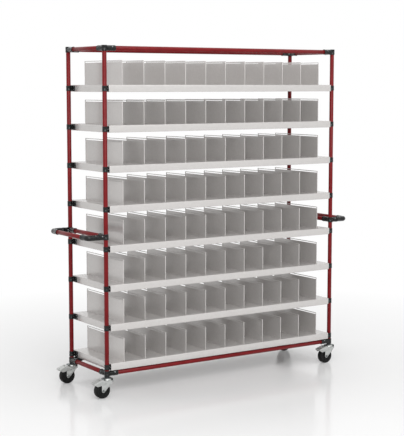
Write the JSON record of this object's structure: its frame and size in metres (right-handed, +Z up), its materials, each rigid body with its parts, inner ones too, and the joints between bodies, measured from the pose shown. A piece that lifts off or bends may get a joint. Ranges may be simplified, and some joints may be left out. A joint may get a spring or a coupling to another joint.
{
  "type": "handling trolley",
  "caption": "Tall tube-framed handling trolley with divided sheet shelves, push handles at both ends and swivel casters with brake pedals.",
  "frame": {"origin": "on the floor under the middle of the trolley", "axes": "+Z up, +X along the long side towards the right end as seen from the front, -Y towards the front"},
  "size_m": [2.0908, 0.531, 2.201],
  "materials": {
    "red_coated_tube": "smooth coloured coating on steel tube",
    "black_joint": "glossy black coated steel joints",
    "grey_sheet": "satin galvanised sheet",
    "zinc_plate": "bright zinc plating",
    "dark_steel": "dark satin steel",
    "black_rubber": "matt rubber"
  },
  "bodies": {
    "frame": {"upright_front_left": "red_coated_tube", "upright_rear_left": "red_coated_tube", "upright_front_right": "red_coated_tube", "upright_rear_right": "red_coated_tube", "top_tube_front": "red_coated_tube", "top_tube_rear": "red_coated_tube", "top_tube_left": "red_coated_tube", "top_tube_right": "red_coated_tube", "base_tube_front": "red_coated_tube", "base_tube_rear": "red_coated_tube", "base_tube_left": "red_coated_tube", "base_tube_right": "red_coated_tube", "top_joint_front_left": "black_joint", "top_joint_rear_left": "black_joint", "top_joint_front_right": "black_joint", "top_joint_rear_right": "black_joint", "base_joint_front_left": "black_joint", "base_joint_rear_left": "black_joint", "base_joint_front_right": "black_joint", "base_joint_rear_right": "black_joint", "handle_tee_front_left": "black_joint", "handle_elbow_front_left": "black_joint", "handle_tee_rear_left": "black_joint", "handle_elbow_rear_left": "black_joint", "handle_cross_tube_left": "red_coated_tube", "handle_bar_left": "red_coated_tube", "handle_tee_front_right": "black_joint", "handle_elbow_front_right": "black_joint", "handle_tee_rear_right": "black_joint", "handle_elbow_rear_right": "black_joint", "handle_cross_tube_right": "red_coated_tube", "handle_bar_right": "red_coated_tube", "shelf_1": "grey_sheet", "shelf_2": "grey_sheet", "shelf_3": "grey_sheet", "shelf_4": "grey_sheet", "shelf_5": "grey_sheet", "shelf_6": "grey_sheet", "shelf_7": "grey_sheet", "shelf_8": "grey_sheet", "caster_front_left_stem": "dark_steel", "caster_rear_left_stem": "dark_steel", "caster_front_right_stem": "dark_steel", "caster_rear_right_stem": "dark_steel"},
    "caster_front_left_swivel": {"caster_front_left_fork": "zinc_plate", "caster_front_left_axle": "zinc_plate"},
    "caster_front_left_wheel": {"caster_front_left_wheel": "black_rubber"},
    "caster_front_left_pedal": {"caster_front_left_pedal": "zinc_plate"},
    "caster_rear_left_swivel": {"caster_rear_left_fork": "zinc_plate", "caster_rear_left_axle": "zinc_plate"},
    "caster_rear_left_wheel": {"caster_rear_left_wheel": "black_rubber"},
    "caster_rear_left_pedal": {"caster_rear_left_pedal": "zinc_plate"},
    "caster_front_right_swivel": {"caster_front_right_fork": "zinc_plate", "caster_front_right_axle": "zinc_plate"},
    "caster_front_right_wheel": {"caster_front_right_wheel": "black_rubber"},
    "caster_front_right_pedal": {"caster_front_right_pedal": "zinc_plate"},
    "caster_rear_right_swivel": {"caster_rear_right_fork": "zinc_plate", "caster_rear_right_axle": "zinc_plate"},
    "caster_rear_right_wheel": {"caster_rear_right_wheel": "black_rubber"},
    "caster_rear_right_pedal": {"caster_rear_right_pedal": "zinc_plate"}
  },
  "joints": [
    {"name": "caster_front_left_swivel_turn", "type": "hinge", "parent": "frame", "child": "caster_front_left_swivel", "pos_m": [-0.9, -0.2375, 0.117], "axis": [0, 0, 1], "continuous": true},
    {"name": "caster_front_left_wheel_roll", "type": "hinge", "parent": "caster_front_left_swivel", "child": "caster_front_left_wheel", "pos_m": [-0.937, -0.2375, 0.05], "axis": [0, 1, 0], "continuous": true},
    {"name": "caster_front_left_pedal_press", "type": "hinge", "parent": "caster_front_left_swivel", "child": "caster_front_left_pedal", "pos_m": [-0.92, -0.2375, 0.098], "axis": [0, -1, 0], "range_deg": [0, 12]},
    {"name": "caster_rear_left_swivel_turn", "type": "hinge", "parent": "frame", "child": "caster_rear_left_swivel", "pos_m": [-0.9, 0.2375, 0.117], "axis": [0, 0, 1], "continuous": true},
    {"name": "caster_rear_left_wheel_roll", "type": "hinge", "parent": "caster_rear_left_swivel", "child": "caster_rear_left_wheel", "pos_m": [-0.937, 0.2375, 0.05], "axis": [0, 1, 0], "continuous": true},
    {"name": "caster_rear_left_pedal_press", "type": "hinge", "parent": "caster_rear_left_swivel", "child": "caster_rear_left_pedal", "pos_m": [-0.92, 0.2375, 0.098], "axis": [0, -1, 0], "range_deg": [0, 12]},
    {"name": "caster_front_right_swivel_turn", "type": "hinge", "parent": "frame", "child": "caster_front_right_swivel", "pos_m": [0.9, -0.2375, 0.117], "axis": [0, 0, 1], "continuous": true},
    {"name": "caster_front_right_wheel_roll", "type": "hinge", "parent": "caster_front_right_swivel", "child": "caster_front_right_wheel", "pos_m": [0.863, -0.2375, 0.05], "axis": [0, 1, 0], "continuous": true},
    {"name": "caster_front_right_pedal_press", "type": "hinge", "parent": "caster_front_right_swivel", "child": "caster_front_right_pedal", "pos_m": [0.88, -0.2375, 0.098], "axis": [0, -1, 0], "range_deg": [0, 12]},
    {"name": "caster_rear_right_swivel_turn", "type": "hinge", "parent": "frame", "child": "caster_rear_right_swivel", "pos_m": [0.9, 0.2375, 0.117], "axis": [0, 0, 1], "continuous": true},
    {"name": "caster_rear_right_wheel_roll", "type": "hinge", "parent": "caster_rear_right_swivel", "child": "caster_rear_right_wheel", "pos_m": [0.863, 0.2375, 0.05], "axis": [0, 1, 0], "continuous": true},
    {"name": "caster_rear_right_pedal_press", "type": "hinge", "parent": "caster_rear_right_swivel", "child": "caster_rear_right_pedal", "pos_m": [0.88, 0.2375, 0.098], "axis": [0, -1, 0], "range_deg": [0, 12]}
  ]
}
